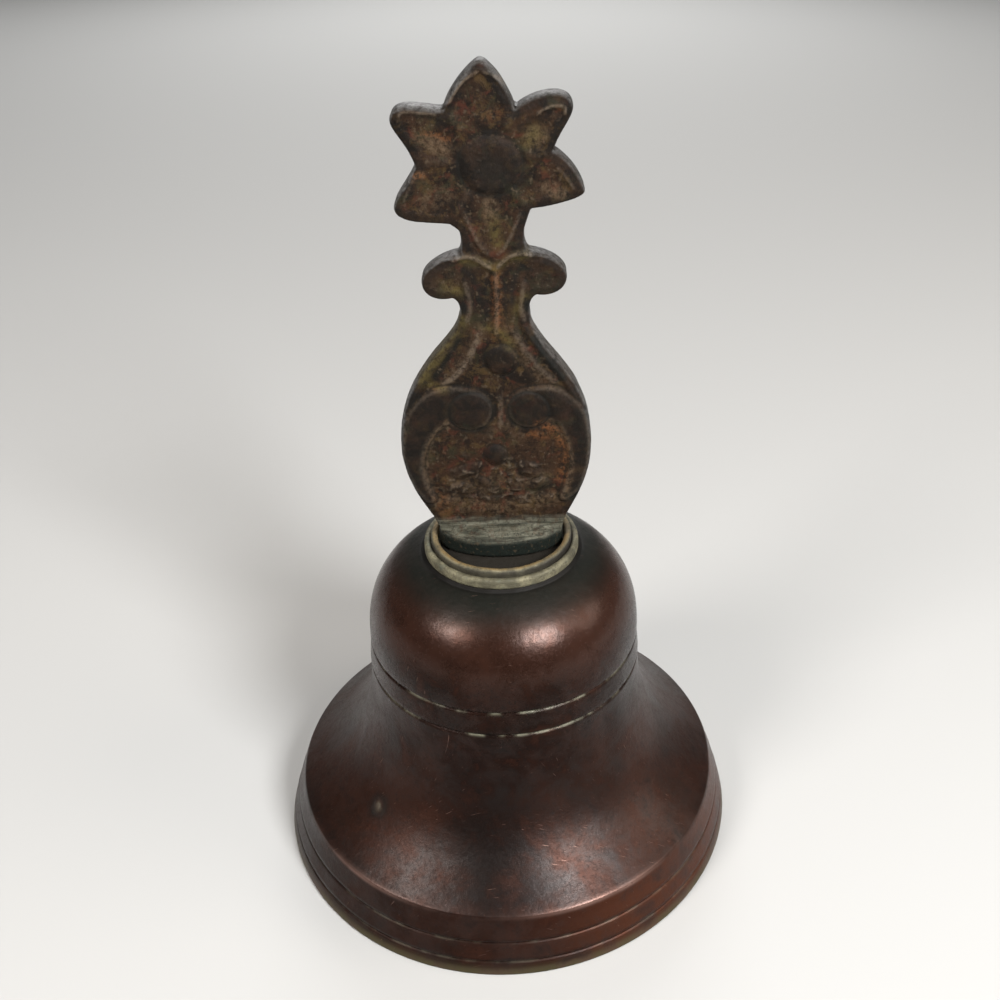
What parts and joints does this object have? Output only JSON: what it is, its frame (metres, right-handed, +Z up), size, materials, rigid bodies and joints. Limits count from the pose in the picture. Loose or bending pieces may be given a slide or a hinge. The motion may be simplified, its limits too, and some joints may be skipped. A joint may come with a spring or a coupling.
{
  "type": "sanctus bell",
  "caption": "Small hand bell with a flared bronze shell, a cast flower handle on a brass collar and a swivelling inner clapper.",
  "frame": {"origin": "centre of the mouth, in the plane of the rim that the bell stands on", "axes": "+Z up along the bell's axis to the flower on top; the handle's flat plate lies in the XZ plane and its front faces -Y"},
  "size_m": [0.086, 0.086, 0.1407],
  "materials": {
    "bell_bronze": "turned bronze with a dark red-brown patina, satin gloss",
    "handle_bronze": "rough cast bronze, brown patina with ochre and red in its hollows",
    "collar_brass": "pale unpolished brass with verdigris",
    "washer_leather": "vegetable-tanned leather, compressed",
    "fixing_steel": "plain steel, dulled",
    "clapper_iron": "wrought iron, dark oxide",
    "clapper_brass": "turned brass, worn where it strikes"
  },
  "bodies": {
    "bell": {"bell_shell": "bell_bronze", "crown_collar": "collar_brass", "handle": "handle_bronze", "hanger_bolt": "fixing_steel", "leather_washer": "washer_leather", "steel_washer": "fixing_steel", "clamp_nut": "fixing_steel", "swivel_washer": "collar_brass"},
    "fork": {"clapper_fork": "clapper_iron", "fork_pin": "clapper_iron"},
    "clapper": {"clapper_rod": "clapper_iron", "clapper_ball": "clapper_brass"}
  },
  "joints": [
    {"name": "fork_swivel", "type": "hinge", "parent": "bell", "child": "fork", "pos_m": [0, 0, 0.04887], "axis": [0, 0, 1], "continuous": true},
    {"name": "clapper_swing", "type": "hinge", "parent": "fork", "child": "clapper", "pos_m": [0, 0, 0.04257], "axis": [0, 1, 0], "range_deg": [-37.5, 37.5]}
  ]
}
